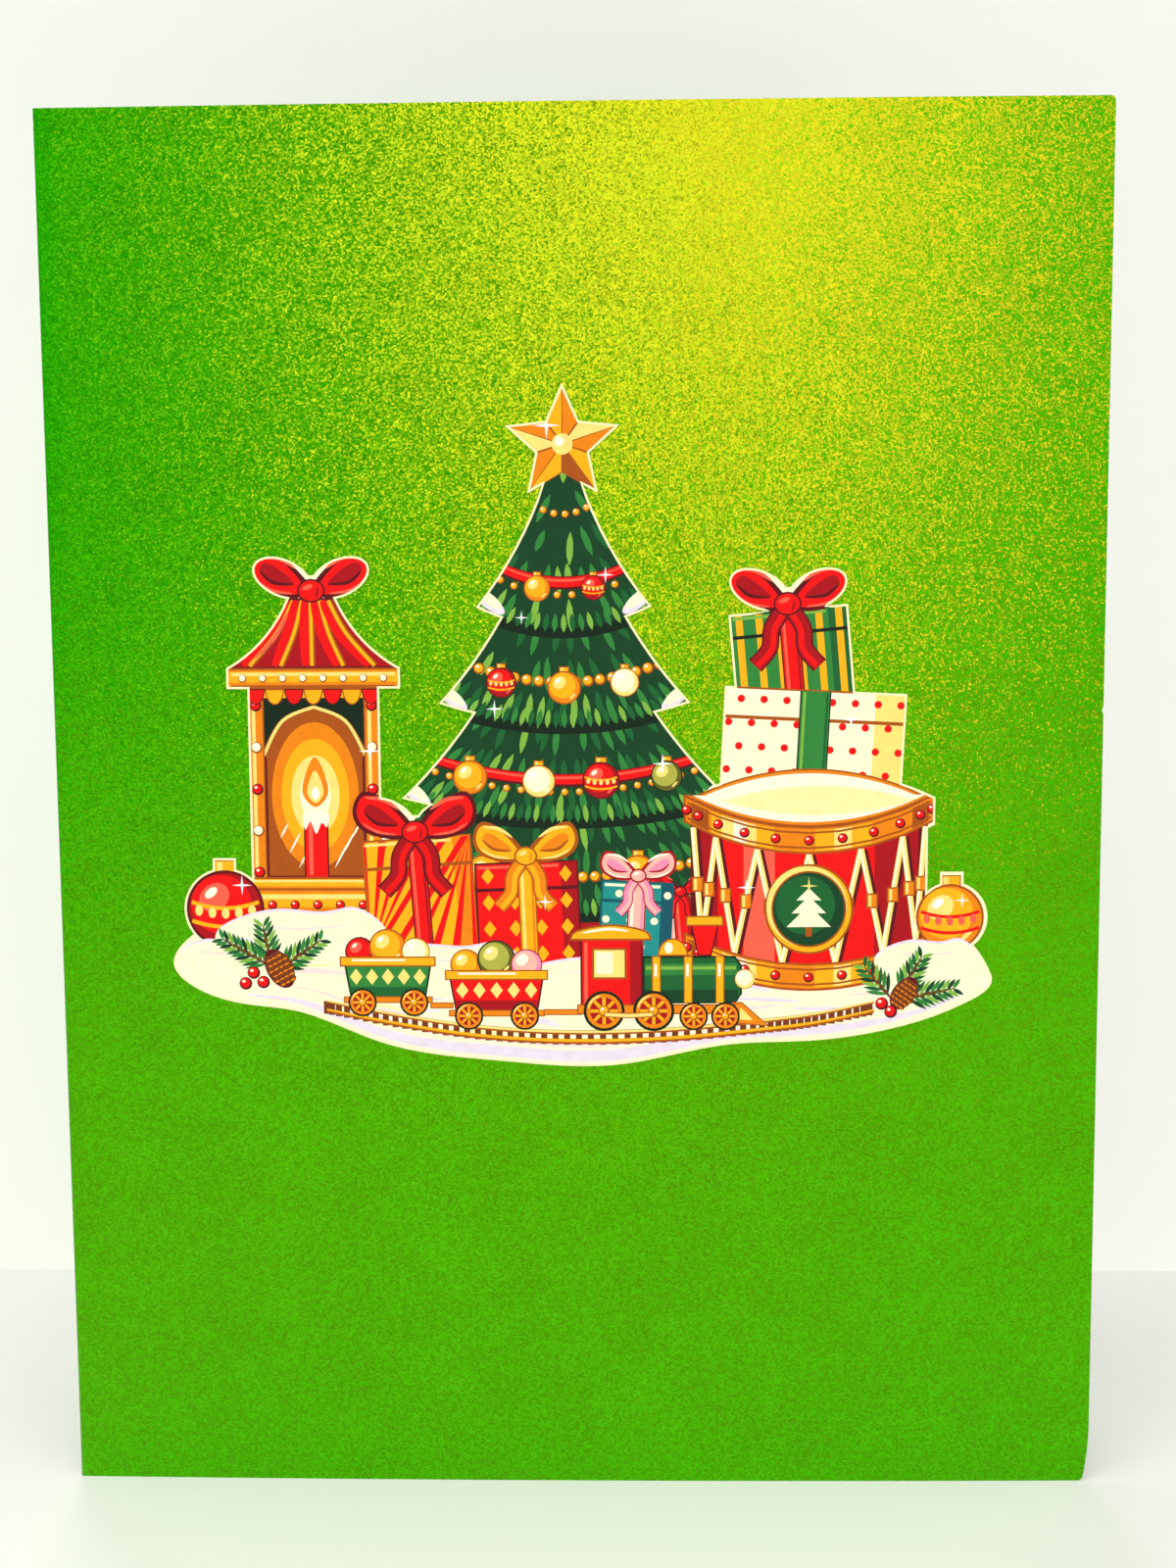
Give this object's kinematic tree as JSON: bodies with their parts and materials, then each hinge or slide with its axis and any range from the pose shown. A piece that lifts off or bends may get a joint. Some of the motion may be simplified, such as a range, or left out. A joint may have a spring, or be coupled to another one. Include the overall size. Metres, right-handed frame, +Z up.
{
  "type": "greeting card",
  "caption": "Upright greeting card of one folded sheet of pearl card, standing open, with a die cut printed paper picture glued on its front leaf.",
  "frame": {"origin": "middle of the footprint box, on the surface that the card stands on", "axes": "+Z up along the fold, +X along the front leaf from the fold to its free edge, front leaf facing -Y"},
  "size_m": [0.1506, 0.0772, 0.2],
  "materials": {
    "pearl_card": "pearl coated, shimmering gold green",
    "printed_label": "satin print on cream paper"
  },
  "bodies": {
    "root": {"folded_cover": "pearl_card", "picture_label": "printed_label"}
  },
  "joints": []
}
